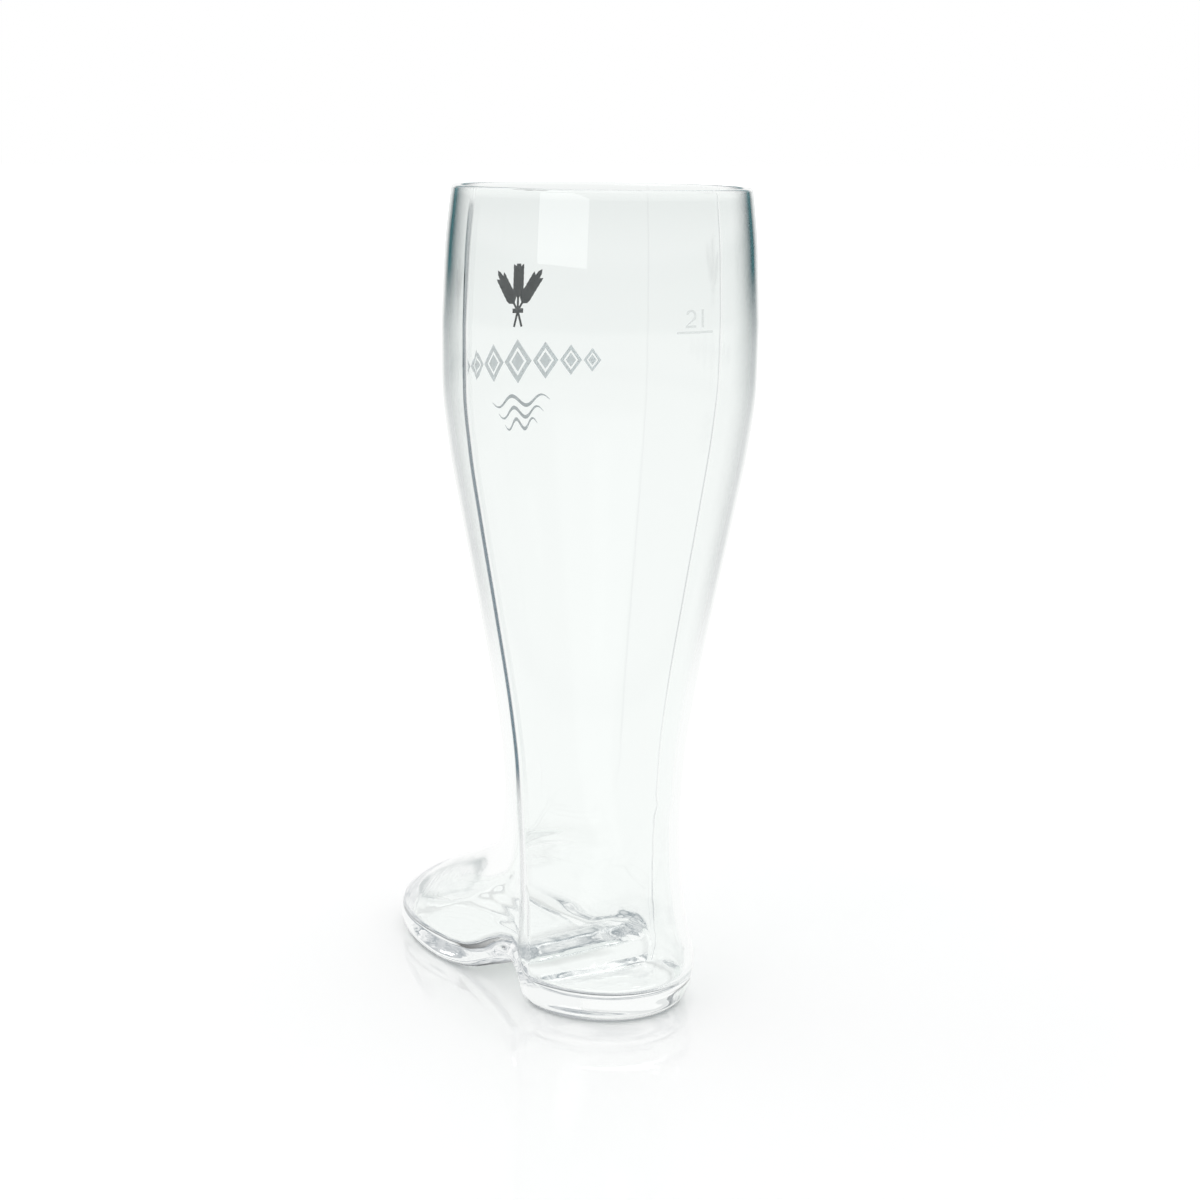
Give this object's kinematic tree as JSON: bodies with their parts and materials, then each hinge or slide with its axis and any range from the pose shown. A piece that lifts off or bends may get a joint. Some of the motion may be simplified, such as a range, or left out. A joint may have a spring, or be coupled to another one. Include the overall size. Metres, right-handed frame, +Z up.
{
  "type": "beer boot glass",
  "caption": "Tall two-litre drinking glass in the shape of a boot, blown in clear glass, with side mould seams, a thick heel and sole, fired enamel ornament and a fill mark.",
  "frame": {"origin": "on the table, under the middle of the boot's whole length, which runs from the back of the calf to the tip of the toe", "axes": "+X points to the toe, +Y to the boot's left side, +Z up along the shaft"},
  "size_m": [0.2002, 0.131, 0.342],
  "materials": {
    "clear_glass": "polished",
    "dark_enamel": "satin",
    "silver_enamel": "satin",
    "grey_enamel": "satin",
    "fill_enamel": "satin"
  },
  "bodies": {
    "root": {"lip": "clear_glass", "calf": "clear_glass", "shin": "clear_glass", "foot": "clear_glass", "heel": "clear_glass", "sole": "clear_glass", "left_seam": "clear_glass", "right_seam": "clear_glass", "print_sprig": "dark_enamel", "print_lozenges": "silver_enamel", "print_wave": "grey_enamel", "fill_line": "fill_enamel", "fill_numeral": "fill_enamel"}
  },
  "joints": []
}
